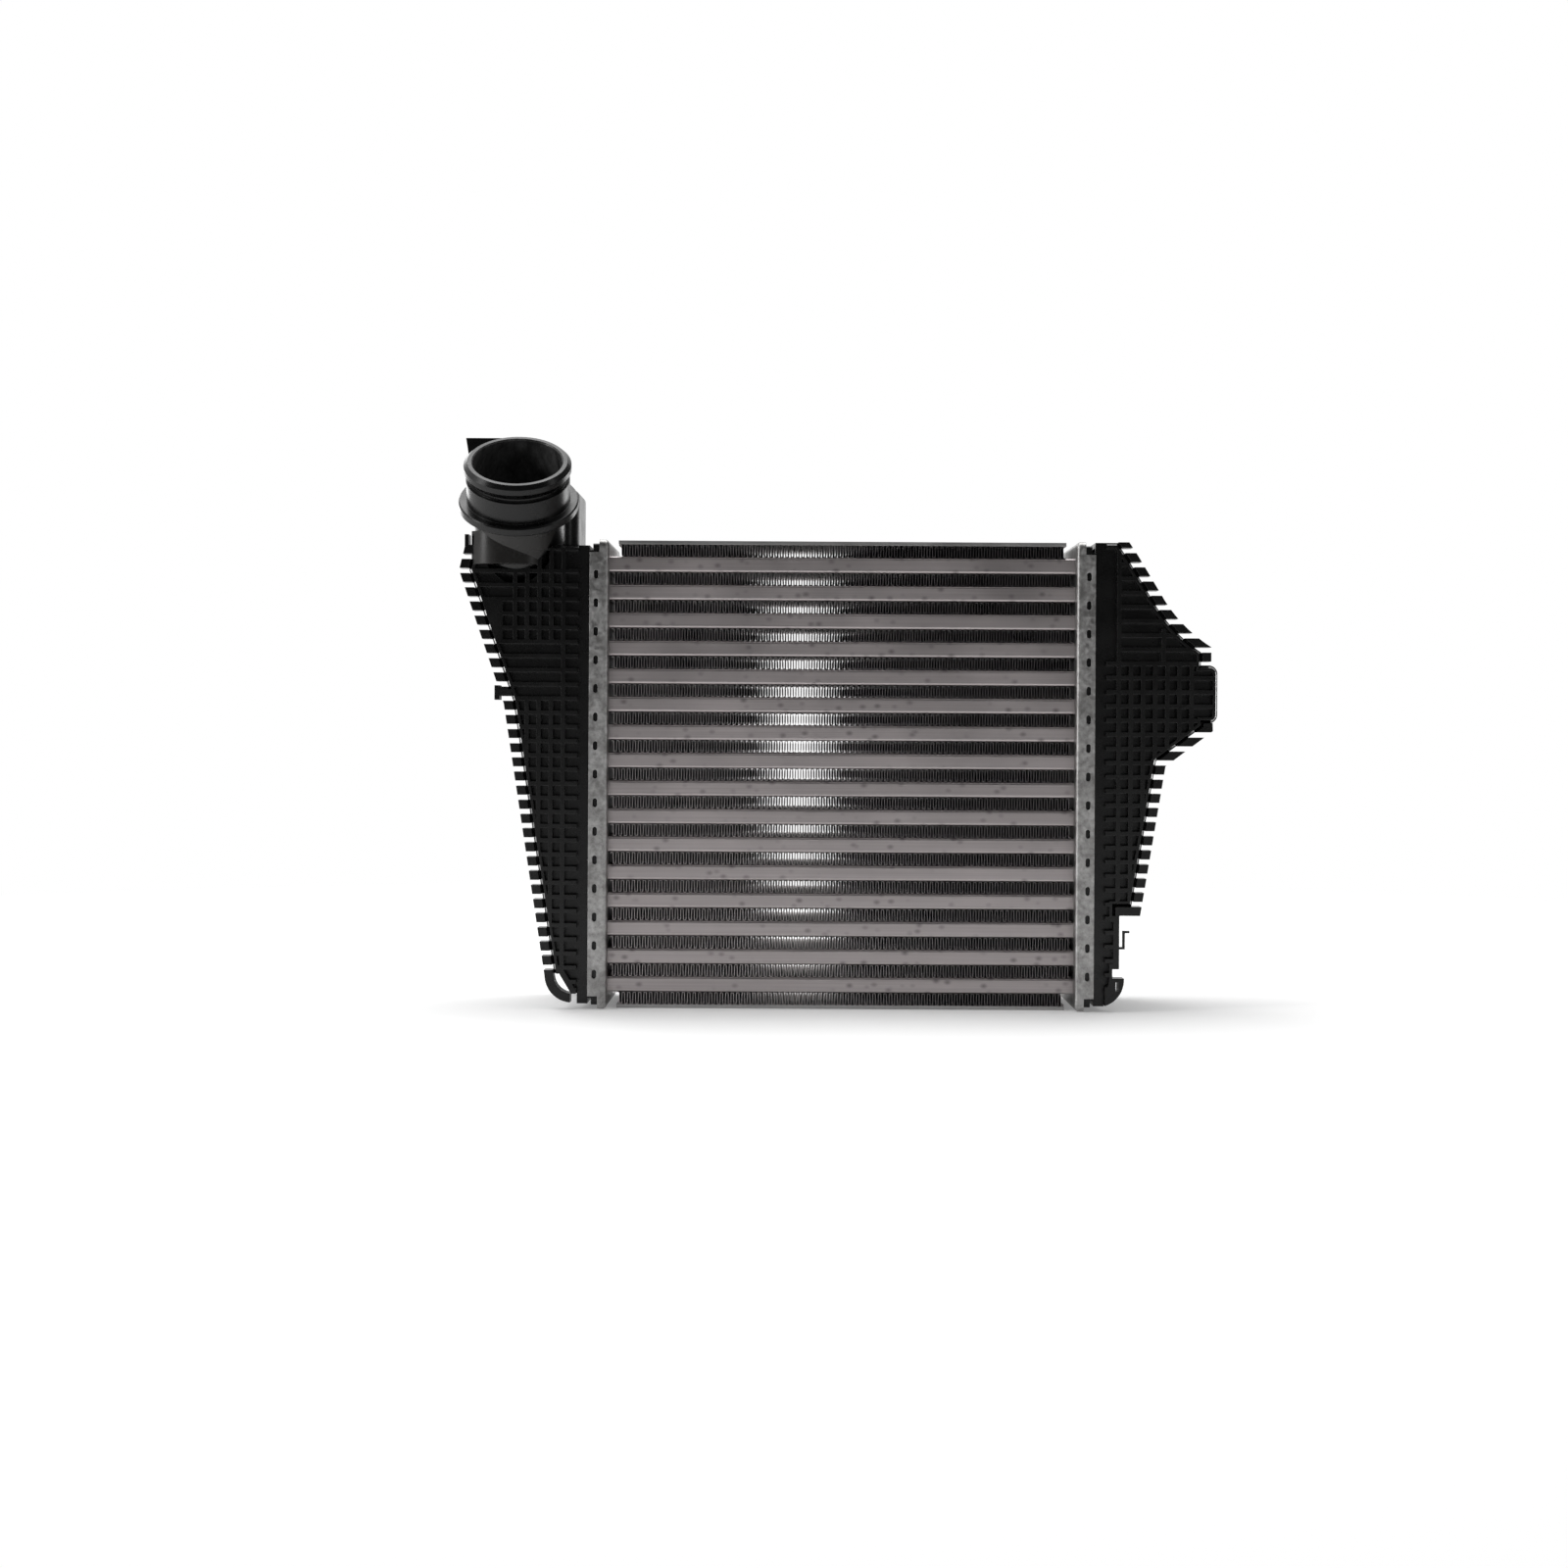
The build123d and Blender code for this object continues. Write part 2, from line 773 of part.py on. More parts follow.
def cut_hood():
    """Opens the hood inside, down through the tank's top wall, in the current BuildPart."""
    floor = inlet_top - inlet_hood_root - 2 * tank_wall
    with BuildSketch(Plane.XY.offset(floor)) as section:
        add(hood_plan(tank_wall))
    extrude(section.sketch, amount=inlet_hood_top - tank_wall - floor, mode=Mode.SUBTRACT)


def inlet_port(frame, start, wall_plan):
    """The port's outside, cut back to where it leaves the tank's air space."""
    with BuildPart() as port:
        port_outside(frame, start, inlet_port_rise)
        cut_cavity(inlet_side, wall_plan)
        cut_hood()
    return port.part.solids().sort_by(SortBy.VOLUME)[-1]


def make_inlet_tank():
    side = inlet_side
    outline = inlet_outline()
    wall_plan = inlet_wall_plan(outline)
    rows = rib_rows(inlet_rib_row)
    band = inset(outline, tooth_length)
    teeth = teeth_plan(side, outline, band, rows, inlet_top, inlet_toe_height, 0, 0)
    frame = inlet_port_frame()
    port_start = -inlet_port_foot_back / math.sin(math.radians(inlet_port_tilt)) / 2
    shell = tank_shell(side, wall_plan, inlet_toe_slot_high + tooth_length)
    hood = inlet_hood()
    port = inlet_port(frame, port_start, wall_plan)
    with BuildPart() as tank:
        add(shell)
        add(hood)
        extrude_between(hose_guide_plan(), hose_guide_back - hose_guide_thickness, hose_guide_back)
        extrude_between(hook_plan(), front, front + tooth_depth)
        cut_hood()
        teeth = trimmed(side, teeth, inlet_toe_tip_reach)
        extrude_between(teeth, front, front + tooth_depth)
        extrude_between(teeth, back - tooth_depth, back)
        extrude_between(lug_plan(), front, front + tooth_depth)
        cut_pockets(inlet_pockets(wall_plan))
        add(neck_pad())
        add(port)
        port_bore(frame, port_start, inlet_port_rise)
    write(tank.part, "inlet_tank")


def clip_plan():
    """The small open clip beside the outlet tank's narrow lower end."""
    side = outlet_side
    stem = outlet_waist_reach + clip_gap
    clip_high = clip_low + clip_height
    with BuildSketch() as sketch:
        bar(side, outlet_waist_reach - clip_sheet, stem, clip_low, clip_low + clip_sheet, mode=Mode.ADD)
        bar(side, stem, stem + clip_sheet, clip_low, clip_high, mode=Mode.ADD)
        bar(side, stem, clip_reach, clip_high - clip_sheet, clip_high, mode=Mode.ADD)
    return sketch.sketch


def outlet_toe_cuts():
    """A notch above the outlet tank's toe and a slot in its tip, in front view."""
    side = outlet_side
    with BuildSketch() as sketch:
        bar(
            side,
            outlet_notch_reach,
            outlet_toe_reach,
            outlet_toe_height,
            outlet_notch_high,
            mode=Mode.ADD,
        )
        bar(
            side,
            outlet_toe_slot_near,
            outlet_toe_slot_far,
            outlet_toe_slot_low,
            outlet_toe_slot_high,
            mode=Mode.ADD,
        )
    return sketch.sketch


def make_outlet_tank():
    side = outlet_side
    outline = outlet_outline()
    wall_plan = outlet_wall_plan(outline)
    rows = [
        height
        for height in rib_rows(outlet_rib_row)
        if not outlet_bump_bottom < height < outlet_bump_top
    ]
    teeth = teeth_plan(
        side,
        outline,
        wall_plan,
        rows,
        outlet_top,
        outlet_toe_height,
        outlet_toe_height,
        outlet_waist_top,
    )
    shell = tank_shell(side, wall_plan, outlet_waist_top)
    frame = Plane(
        origin=(at(side, outlet_port_reach), wall_half_depth, outlet_port_height),
        x_dir=(1, 0, 0),
        z_dir=(0, 1, 0),
    )
    with BuildPart() as tank:
        add(shell)
        extrude_between(clip_plan(), front, front + clip_depth)
        extrude_between(teeth, front, front + tooth_depth)
        extrude_between(teeth, back - tooth_depth, back)
        extrude_between(outlet_toe_cuts(), front, back, mode=Mode.SUBTRACT)
        cut_pockets(outlet_pockets(wall_plan))
        port_outside(frame, -tank_wall, outlet_port_stand_out)
        port_bore(frame, -2 * tank_wall, outlet_port_stand_out)
    write(tank.part, "outlet_tank")


os.makedirs("parts", exist_ok=True)

make_inlet_tank()
make_outlet_tank()
make_header(inlet_side, "inlet_header")
make_header(outlet_side, "outlet_header")
make_gasket(inlet_side, "inlet_gasket")
make_gasket(outlet_side, "outlet_gasket")
make_side_plate(side_plate_thickness, 0, "lower_side_plate")
make_side_plate(core_height - side_plate_thickness, core_height, "upper_side_plate")
fin = make_fin(fin_length)
outer_fin = make_fin(outer_fin_length)
tube = make_tube()
turbulator = make_turbulator()
for number in range(tube_count):
    place = Pos(0, 0, tube_centre(number))
    write(place * tube, f"charge_tube_{number + 1:02d}")
    write(place * turbulator, f"turbulator_{number + 1:02d}")
for number in range(tube_count + 1):
    place = Pos(0, 0, side_plate_thickness + number * tube_pitch)
    shape = outer_fin if number in (0, tube_count) else fin
    write(place * shape, f"cooling_fin_{number + 1:02d}")
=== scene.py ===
import math

import bpy
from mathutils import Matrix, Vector


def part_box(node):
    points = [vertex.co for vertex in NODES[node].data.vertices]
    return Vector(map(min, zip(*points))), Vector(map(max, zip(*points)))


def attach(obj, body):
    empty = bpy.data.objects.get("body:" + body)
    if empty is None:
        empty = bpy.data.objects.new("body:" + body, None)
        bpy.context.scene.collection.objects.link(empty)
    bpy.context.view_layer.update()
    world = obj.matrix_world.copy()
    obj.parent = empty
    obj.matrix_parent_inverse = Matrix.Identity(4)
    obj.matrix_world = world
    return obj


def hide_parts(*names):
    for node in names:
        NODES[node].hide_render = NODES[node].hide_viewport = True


MM = 0.001

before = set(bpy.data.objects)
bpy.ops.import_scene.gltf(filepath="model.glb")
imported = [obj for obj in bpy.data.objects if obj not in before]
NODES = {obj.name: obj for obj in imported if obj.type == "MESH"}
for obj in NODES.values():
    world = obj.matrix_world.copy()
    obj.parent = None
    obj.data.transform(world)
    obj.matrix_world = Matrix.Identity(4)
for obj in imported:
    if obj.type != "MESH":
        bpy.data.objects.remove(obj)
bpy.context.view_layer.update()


# ---------------------------------------------------------------- node helpers
# The part of a noise's 0 to 1 that is stretched over the whole of a mask or mix.
BROAD = (0.3, 0.7)
MEDIUM = (0.35, 0.65)
NARROW = (0.4, 0.6)

BEVEL_SAMPLES = 6


class Shader:
    """A material's node tree, with short calls for the nodes used here."""

    def __init__(self, name):
        self.material = bpy.data.materials.new(name)
        self.material.use_nodes = True
        self.tree = self.material.node_tree
        self.bsdf = self.tree.nodes["Principled BSDF"]
        self.place = self.add("ShaderNodeTexCoord").outputs["Object"]

    def add(self, kind):
        return self.tree.nodes.new(kind)

    def link(self, source, target):
        self.tree.links.new(source, target)

    def put(self, target, value):
        if isinstance(value, bpy.types.NodeSocket):
            self.link(value, target)
        else:
            target.default_value = value

    def set(self, name, value):
        """Gives an input of the surface a number, a colour or a socket."""
        self.put(self.bsdf.inputs[name], value)

    def axes(self, vector):
        parts = self.add("ShaderNodeSeparateXYZ")
        self.link(vector, parts.inputs["Vector"])
        return [parts.outputs[axis] for axis in "XYZ"]

    def stretched(self, x, y, z):
        mapping = self.add("ShaderNodeMapping")
        mapping.inputs["Scale"].default_value = (x, y, z)
        self.link(self.place, mapping.inputs["Vector"])
        return mapping.outputs["Vector"]

    def noise(self, scale, detail, roughness=0.5, place=None):
        node = self.add("ShaderNodeTexNoise")
        node.inputs["Scale"].default_value = scale
        node.inputs["Detail"].default_value = detail
        node.inputs["Roughness"].default_value = roughness
        self.link(place or self.place, node.inputs["Vector"])
        return node.outputs["Fac"]

    def lines(self, x, y, z):
        """Noise drawn out into lines along the axis with the smallest scale."""
        place = self.stretched(x, y, z)
        return self.noise(scale=1.0, detail=3, roughness=0.6, place=place)

    def spots(self, scale, place):
        node = self.add("ShaderNodeTexVoronoi")
        node.inputs["Scale"].default_value = scale
        self.link(place, node.inputs["Vector"])
        return node.outputs["Distance"]

    def fit(self, value, low, high, to_low=0.0, to_high=1.0):
        node = self.add("ShaderNodeMapRange")
        node.inputs["From Min"].default_value = low
        node.inputs["From Max"].default_value = high
        node.inputs["To Min"].default_value = to_low
        node.inputs["To Max"].default_value = to_high
        self.link(value, node.inputs["Value"])
        return node.outputs["Result"]

    def maths(self, operation, first, second=None):
        node = self.add("ShaderNodeMath")
        node.operation = operation
        self.put(node.inputs[0], first)
        if second is not None:
            self.put(node.inputs[1], second)
        return node.outputs["Value"]

    def less(self, value, limit):
        return self.maths("LESS_THAN", value, limit)

    def both(self, first, second):
        return self.maths("MULTIPLY", first, second)

    def along(self, place, turn=(0.0, 0.0, 0.0)):
        """Distance from a turned Z axis through a place, and height along that axis."""
        mapping = self.add("ShaderNodeMapping")
        mapping.vector_type = "TEXTURE"
        mapping.inputs["Location"].default_value = place
        mapping.inputs["Rotation"].default_value = turn
        self.link(self.place, mapping.inputs["Vector"])
        x, y, height = self.axes(mapping.outputs["Vector"])
        squares = self.maths("ADD", self.maths("POWER", x, 2), self.maths("POWER", y, 2))
        return self.maths("SQRT", squares), height

    def mix(self, factor, first, second):
        node = self.add("ShaderNodeMix")
        node.data_type = "RGBA"
        self.put(node.inputs["Factor"], factor)
        self.put(node.inputs["A"], first)
        self.put(node.inputs["B"], second)
        return node.outputs["Result"]

    def relief(self, height, strength, distance, edge=0.0):
        """Bump from a height, over edges rounded by a radius."""
        bump = self.add("ShaderNodeBump")
        bump.inputs["Strength"].default_value = strength
        bump.inputs["Distance"].default_value = distance
        self.link(height, bump.inputs["Height"])
        if edge:
            bevel = self.add("ShaderNodeBevel")
            bevel.samples = BEVEL_SAMPLES
            bevel.inputs["Radius"].default_value = edge
            self.link(bevel.outputs["Normal"], bump.inputs["Normal"])
        self.set("Normal", bump.outputs["Normal"])


def grey(level, warmth=0.0):
    return (level * (1 + warmth), level, level * (1 - warmth), 1.0)


# ---------------------------------------------------------------- materials
METAL = 1.0

# The ports' axes in part.py's frame: a place on each and its turn from upright.
INLET_PORT = (-150.9 * MM, -20.6 * MM, 216.1 * MM)
INLET_TURN = (math.radians(35), math.radians(2.07), 0)
OUTLET_PORT = (145.9 * MM, 32.8 * MM, 149.0 * MM)
OUTLET_TURN = (math.radians(-90), 0, 0)
BORE_RADIUS = 20.9 * MM
COLLAR_HEIGHT = 19.8 * MM
TANK_FRONT = -37.9 * MM

# How far along the core the fins' painted shade sets in, and where it is full: the fins are
# painted darker towards the outlet end.
FIN_SHADE_START = -20 * MM
FIN_SHADE_END = 60 * MM

CLEAN_PLASTIC = (grey(0.002), grey(0.005))
# Painted light: a lighter warm grey for the inlet's neck, standing in for the light the floor
# throws up on it.
NECK_PAINTED_LIGHT = (grey(0.014, 0.06), grey(0.026, 0.06))
# Painted light: a lighter grey for the inside of the ports, standing in for light falling into
# the bores.
BORE_PAINTED_LIGHT = (grey(0.03), grey(0.1))
TUBE_COLOURS = ((0.4, 0.37, 0.37, 1), (0.49, 0.45, 0.45, 1))
TUBE_LINES = (0.33, 0.3, 0.3, 1)
TUBE_DIRT = (0.23, 0.21, 0.21, 1)
FIN_COLOURS = ((0.5, 0.46, 0.46, 1), (0.6, 0.56, 0.55, 1))
# Painted shade: the darker colour the fins take towards the outlet end.
FIN_PAINTED_SHADE = (0.27, 0.25, 0.25, 1)
HEADER_COLOURS = (grey(0.24, 0.02), grey(0.5, 0.01))
PLATE_COLOURS = (grey(0.4, 0.01), grey(0.5, 0.01))
PLATE_LINES = grey(0.3)
RUBBER_COLOURS = (grey(0.012), grey(0.03))


def tank_plastic():
    """Satin black, with painted light: a lighter streaked grey inside the ports and a lighter
    grey on the inlet's neck.
    """
    s = Shader("tank_plastic")
    cloud = s.noise(scale=90, detail=4)
    grain = s.noise(scale=2600, detail=2)
    bores = []
    heights = []
    for port, turn in ((INLET_PORT, INLET_TURN), (OUTLET_PORT, OUTLET_TURN)):
        across, height = s.along(port, turn)
        bores.append(s.both(s.less(across, BORE_RADIUS), s.less(0.0, height)))
        heights.append(height)
    bore = s.maths("MAXIMUM", *bores)
    _, y, _ = s.axes(s.place)
    # Painted light: the inlet's neck, in front of the tank and below the collar, gets a
    # lighter grey.
    neck = s.both(s.less(y, TANK_FRONT), s.less(heights[0], COLLAR_HEIGHT))
    # Painted light inside the ports: vertical streaks of lighter grey.
    bore_light_streak = s.lines(160, 160, 12)
    clean = s.mix(cloud, *CLEAN_PLASTIC)
    painted_neck_light = s.mix(cloud, *NECK_PAINTED_LIGHT)
    painted_bore_light = s.mix(s.fit(bore_light_streak, *MEDIUM), *BORE_PAINTED_LIGHT)
    s.set("Base Color", s.mix(bore, s.mix(neck, clean, painted_neck_light), painted_bore_light))
    s.set("Roughness", s.fit(cloud, *BROAD, to_low=0.22, to_high=0.32))
    s.set("Specular IOR Level", 0.33)
    s.relief(grain, strength=0.12, distance=0.1 * MM, edge=0.35 * MM)
    return s.material


def tube_aluminium():
    """Drawn sheet with faint lines along it and small dark flecks."""
    s = Shader("tube_aluminium")
    drawn = s.lines(9, 60, 1500)
    cloud = s.noise(scale=28, detail=4)
    spot = s.spots(scale=150, place=s.stretched(1, 1, 1.4))
    fleck = s.fit(spot, 0.06, 0.32, to_low=1.0, to_high=0.0)
    region = s.fit(s.noise(scale=40, detail=1), 0.4, 0.5)
    base = s.mix(s.fit(cloud, *BROAD), *TUBE_COLOURS)
    lined = s.mix(s.fit(drawn, *MEDIUM, to_high=0.5), base, TUBE_LINES)
    s.set("Base Color", s.mix(s.both(fleck, region), lined, TUBE_DIRT))
    s.set("Metallic", METAL)
    s.set("Roughness", s.fit(cloud, *BROAD, to_low=0.34, to_high=0.46))
    s.relief(drawn, strength=0.25, distance=0.08 * MM, edge=0.2 * MM)
    return s.material


def fin_aluminium():
    """Bright sheet, with painted shade that darkens it towards the outlet."""
    s = Shader("fin_aluminium")
    cloud = s.noise(scale=60, detail=3)
    x, _, _ = s.axes(s.place)
    bright = s.mix(cloud, *FIN_COLOURS)
    # Painted shade: the fins darken along the core towards the outlet end.
    s.set("Base Color", s.mix(s.fit(x, FIN_SHADE_START, FIN_SHADE_END), bright, FIN_PAINTED_SHADE))
    s.set("Metallic", METAL)
    s.set("Roughness", s.fit(cloud, *BROAD, to_low=0.25, to_high=0.38))
    return s.material


def header_aluminium():
    """Pressed sheet with the blotches that brazing leaves."""
    s = Shader("header_aluminium")
    cloud = s.noise(scale=110, detail=5, roughness=0.65)
    stain = s.noise(scale=420, detail=4, roughness=0.7)
    patch = s.fit(s.both(cloud, stain), 0.16, 0.36)
    s.set("Base Color", s.mix(patch, *HEADER_COLOURS))
    s.set("Metallic", METAL)
    s.set("Roughness", s.fit(stain, *BROAD, to_low=0.28, to_high=0.5))
    s.relief(stain, strength=0.3, distance=0.15 * MM, edge=0.3 * MM)
    return s.material


def plate_aluminium():
    """Rolled sheet with fine lines along it."""
    s = Shader("plate_aluminium")
    rolled = s.lines(12, 900, 900)
    cloud = s.noise(scale=35, detail=4)
    base = s.mix(s.fit(cloud, *BROAD), *PLATE_COLOURS)
    s.set("Base Color", s.mix(s.fit(rolled, *NARROW, to_high=0.4), base, PLATE_LINES))
    s.set("Metallic", METAL)
    s.set("Roughness", s.fit(cloud, *BROAD, to_low=0.32, to_high=0.45))
    s.relief(rolled, strength=0.2, distance=0.06 * MM, edge=0.2 * MM)
    return s.material


def seal_rubber():
    """Matt black with a fine grain."""
    s = Shader("seal_rubber")
    grain = s.noise(scale=900, detail=3)
    s.set("Base Color", s.mix(grain, *RUBBER_COLOURS))
    s.set("Roughness", 0.7)
    s.relief(grain, strength=0.2, distance=0.1 * MM)
    return s.material


FIN_SHEET_METAL = fin_aluminium()

# The word in a node's name, and the material of the nodes that have it.
MATERIALS = {
    "tank": tank_plastic(),
    "header": header_aluminium(),
    "charge": tube_aluminium(),
    "plate": plate_aluminium(),
    "gasket": seal_rubber(),
    "turbulator": FIN_SHEET_METAL,
    "fin": FIN_SHEET_METAL,
}

for node in NODES:
    for word, material in MATERIALS.items():
        if word in node.split("_"):
            slots = NODES[node].data.materials
            slots.clear()
            slots.append(material)


# ---------------------------------------------------------------- fins
FIN_WAVE = 2.52 * MM
FIN_SHEET = 0.18 * MM
FIN_CREST = 0.6 * MM
CREST_STEPS = 5
CREST_POINTS = CREST_STEPS + 1
LINE_CORNERS = 4
SHARP_ANGLE = math.radians(50)

LOUVRES = 12
LOUVRE_WIDTH = 1.4 * MM
LOUVRE_ANGLE = math.radians(20)
LOUVRE_END = 0.14  # share of a wall that stays plain at each end of a slat
FIN_MARGIN = 5.0 * MM  # plain strip before the first slat and behind the last


def crest_turn(wave, height):
    """Angle from level at which the sheet leaves a crest."""
    rise = height - 2 * FIN_CREST
    reach = math.hypot(wave / 2, rise)
    wall = math.atan2(rise, wave / 2) + math.asin(2 * FIN_CREST / reach)
    return math.pi / 2 - wall


def centre_line(length, height):
    """Points and normals along the middle of the sheet, from end to end."""
    waves = round(length / FIN_WAVE)
    wave = length / waves
    rest = crest_turn(wave, height)
    points = []
    for half in range(2 * waves):
        up = 1 if half % 2 == 0 else -1
        x = -length / 2 + (half + 0.5) * wave / 2
        z = up * (height / 2 - FIN_CREST)
        for step in range(CREST_POINTS):
            angle = math.pi - rest - step * (math.pi - 2 * rest) / CREST_STEPS
            normal = (math.cos(angle), up * math.sin(angle))
            points.append(((x + FIN_CREST * normal[0], z + FIN_CREST * normal[1]), normal, up))
    return points


def louvres(line, middle, low_y, high_y):
    """Small slats that stand out of both sides of every wall of the strip."""
    span = high_y - low_y - 2 * FIN_MARGIN
    along = LOUVRE_WIDTH / 2 * math.cos(LOUVRE_ANGLE)
    out = LOUVRE_WIDTH / 2 * math.sin(LOUVRE_ANGLE)
    vertices = []
    faces = []
    for first in range(CREST_STEPS, len(line) - 1, CREST_POINTS):
        (x0, z0), _, _ = line[first]
        (x1, z1), _, _ = line[first + 1]
        ends = []
        for t in (LOUVRE_END, 1 - LOUVRE_END):
            ends.append((middle[0] + x0 + t * (x1 - x0), middle[1] + z0 + t * (z1 - z0)))
        for number in range(LOUVRES):
            y = low_y + FIN_MARGIN + (number + 0.5) * span / LOUVRES
            lean = out if number < LOUVRES / 2 else -out
            a = len(vertices)
            for x, z in ends:
                vertices += [(x - lean, y - along, z), (x + lean, y + along, z)]
            faces.append((a, a + 1, a + 3, a + 2))
    return vertices, faces


def strip(line, middle, low_y, high_y):
    """The folded sheet: four corners at each point of its middle line, and its skin."""
    vertices = []
    for (x, z), normal, up in line:
        for away in (up * FIN_SHEET / 2, -up * FIN_SHEET / 2):
            corner_x = middle[0] + x + away * normal[0]
            corner_z = middle[1] + z + away * normal[1]
            vertices += [(corner_x, low_y, corner_z), (corner_x, high_y, corner_z)]
    faces = []
    for index in range(len(line) - 1):
        a = LINE_CORNERS * index
        b = a + LINE_CORNERS
        faces.append((a, b, b + 1, a + 1))
        faces.append((a + 2, a + 3, b + 3, b + 2))
        faces.append((a, a + 2, b + 2, b))
        faces.append((a + 1, b + 1, b + 3, a + 3))
    last = LINE_CORNERS * (len(line) - 1)
    faces.append((0, 1, 3, 2))
    faces.append((last, last + 2, last + 3, last + 1))
    return vertices, faces


def fin_mesh(name, low, high):
    """A louvred strip that fills the box of the solid fin it stands for."""
    middle = ((low.x + high.x) / 2, (low.z + high.z) / 2)
    line = centre_line(high.x - low.x - FIN_SHEET, high.z - low.z - FIN_SHEET)
    vertices, faces = strip(line, middle, low.y, high.y)
    slats, slat_faces = louvres(line, middle, low.y, high.y)
    count = len(vertices)
    vertices += slats
    faces += [tuple(count + corner for corner in face) for face in slat_faces]
    mesh = bpy.data.meshes.new(name)
    mesh.from_pydata(vertices, [], faces)
    mesh.update()
    for polygon in mesh.polygons:
        polygon.use_smooth = True
    mesh.set_sharp_from_angle(angle=SHARP_ANGLE)
    return mesh


def fine_fin(node):
    """Puts a fine strip in the place of a solid fin."""
    low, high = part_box(node)
    fin = bpy.data.objects.new(f"{node}_fine", fin_mesh(f"{node}_fine", low, high))
    bpy.context.collection.objects.link(fin)
    fin.data.materials.append(MATERIALS["fin"])
    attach(fin, "root")
    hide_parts(node)


for node in sorted(NODES):
    if node.startswith("cooling_fin"):
        fine_fin(node)


# ---------------------------------------------------------------- studio
WHITE = (1, 1, 1, 1)

FLOOR_WIDTH = 5.0
FLOOR_DROP = 0.2 * MM
FLOOR_COLOURS = (grey(0.86), grey(0.9))
FLOOR_LIFT = 0.2
FADE_START = 0.4
FADE_END = 1.0

# Name, width and height, place, and turn in degrees.
CARD_GLOW = 0.06
CARDS = (
    ("front_card", (7.0, 4.0), (0, -2.0, 2.0), (90, 0, 0)),
    ("right_card", (4.6, 2.4), (1.7, 0.5, 1.2), (90, 0, 90)),
)

# Name, place, what it is aimed at, width and height, and watts.
LIGHTS = (
    ("top_light", (0, 0.45, 2.1), (0, 0, 0), (2.3, 1.0), 30),
    ("left_light", (-1.5, -0.7, 0.7), (0, 0, 0.1), (0.35, 1.5), 7),
    ("right_light", (1.5, -0.7, 0.7), (0, 0, 0.1), (0.35, 1.5), 2),
    ("left_rim_light", (-0.87, 1.28, 0.6), (-0.15, 0, 0.1), (0.6, 1.2), 6),
    ("right_rim_light", (0.87, 1.28, 0.15), (0.15, 0, 0.1), (0.6, 0.3), 1.6),
)

WORLD_LIGHT = 0.75
WORLD_SEEN = 1.0


def plane(name, width, height, material):
    mesh = bpy.data.meshes.new(name)
    w = width / 2
    h = height / 2
    mesh.from_pydata([(-w, -h, 0), (w, -h, 0), (w, h, 0), (-w, h, 0)], [], [(0, 1, 2, 3)])
    mesh.materials.append(material)
    thing = bpy.data.objects.new(name, mesh)
    bpy.context.collection.objects.link(thing)
    return thing


def seen(tree):
    """1 on rays from the camera and in what metal and glass show, and 0 on all others."""
    path = tree.nodes.new("ShaderNodeLightPath")
    shown = path.outputs["Is Camera Ray"]
    for name in ("Is Glossy Ray", "Is Transmission Ray"):
        either = tree.nodes.new("ShaderNodeMath")
        either.operation = "MAXIMUM"
        tree.links.new(shown, either.inputs[0])
        tree.links.new(path.outputs[name], either.inputs[1])
        shown = either.outputs["Value"]
    return shown


def floor_paint():
    """Pale, and fading into the white background away from the object."""
    s = Shader("floor_paint")
    distance, _ = s.along((0, 0, 0))
    fade = s.fit(distance, FADE_START, FADE_END)
    pale = s.mix(s.noise(scale=1.2, detail=2), *FLOOR_COLOURS)
    s.set("Base Color", s.mix(fade, pale, grey(0.0)))
    s.set("Roughness", 0.9)
    s.set("Specular IOR Level", 0.0)
    s.set("Emission Color", WHITE)
    lift = s.fit(fade, 0, 1, to_low=FLOOR_LIFT)
    s.set("Emission Strength", s.both(seen(s.tree), lift))
    return s.material


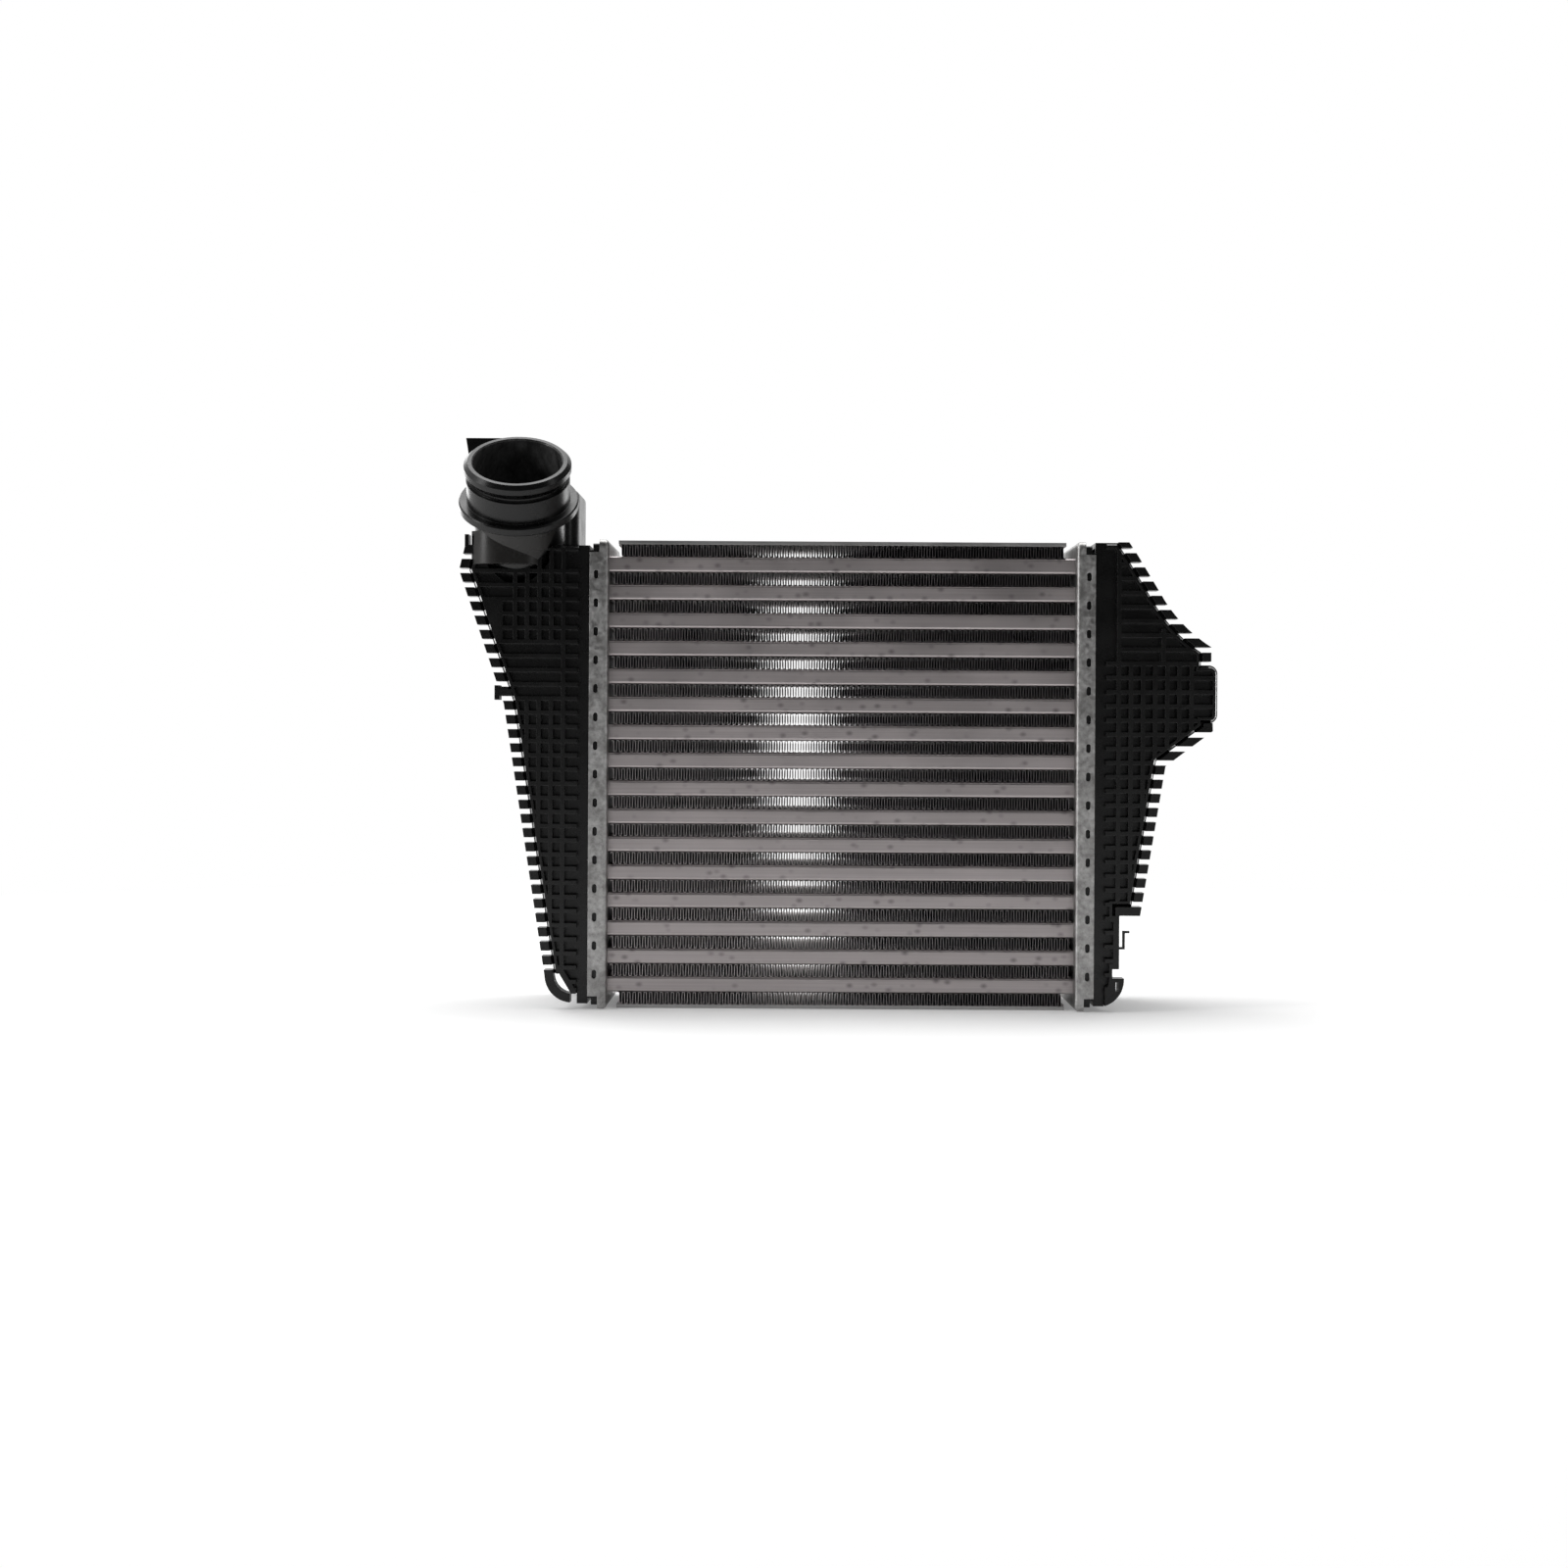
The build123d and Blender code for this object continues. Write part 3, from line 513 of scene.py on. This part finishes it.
def wall_paint(level):
    """Black, with a faint even glow that the plastic and the metal reflect."""
    s = Shader("wall_paint")
    s.set("Base Color", grey(0.0))
    s.set("Roughness", 1.0)
    s.set("Emission Color", s.mix(s.noise(scale=0.8, detail=2), grey(0.9), grey(1.0)))
    s.set("Emission Strength", level)
    return s.material


def softbox(name, place, aim, size, power):
    data = bpy.data.lights.new(name, "AREA")
    data.shape = "RECTANGLE"
    data.size, data.size_y = size
    data.energy = power
    lamp = bpy.data.objects.new(name, data)
    bpy.context.collection.objects.link(lamp)
    lamp.location = place
    lamp.visible_camera = False
    lamp.rotation_euler = (Vector(aim) - Vector(place)).to_track_quat("-Z", "Y").to_euler()


def white_world():
    """White where it is seen, mirrored or seen through, and plain pale light otherwise."""
    world = bpy.data.worlds.new("studio_world")
    bpy.context.scene.world = world
    world.use_nodes = True
    tree = world.node_tree
    background = tree.nodes["Background"]
    level = tree.nodes.new("ShaderNodeMapRange")
    level.inputs["To Min"].default_value = WORLD_LIGHT
    level.inputs["To Max"].default_value = WORLD_SEEN
    tree.links.new(seen(tree), level.inputs["Value"])
    background.inputs["Color"].default_value = WHITE
    tree.links.new(level.outputs["Result"], background.inputs["Strength"])


floor = plane("studio_floor", FLOOR_WIDTH, FLOOR_WIDTH, floor_paint())
floor.location = (0, 0, -FLOOR_DROP)

card_paint = wall_paint(CARD_GLOW)
for name, size, place, turn in CARDS:
    card = plane(name, *size, card_paint)
    card.location = place
    card.rotation_euler = [math.radians(angle) for angle in turn]
    card.visible_camera = False

for light in LIGHTS:
    softbox(*light)

white_world()


# ---------------------------------------------------------------- camera
CAMERA_PLACE = (-0.0199, -1.230, 0.1272)
CAMERA_TURN = (math.radians(90), math.radians(-0.33), 0)
CAMERA_LENS = 59.3
CAMERA_SENSOR = 36
CAMERA_SHIFT = (-0.0094, -0.0313)

data = bpy.data.cameras.new("photo_camera")
data.lens = CAMERA_LENS
data.sensor_width = CAMERA_SENSOR
data.shift_x, data.shift_y = CAMERA_SHIFT
camera = bpy.data.objects.new("photo_camera", data)
bpy.context.collection.objects.link(camera)
camera.location = CAMERA_PLACE
camera.rotation_euler = CAMERA_TURN
bpy.context.scene.camera = camera
bpy.context.scene.view_settings.view_transform = "Standard"
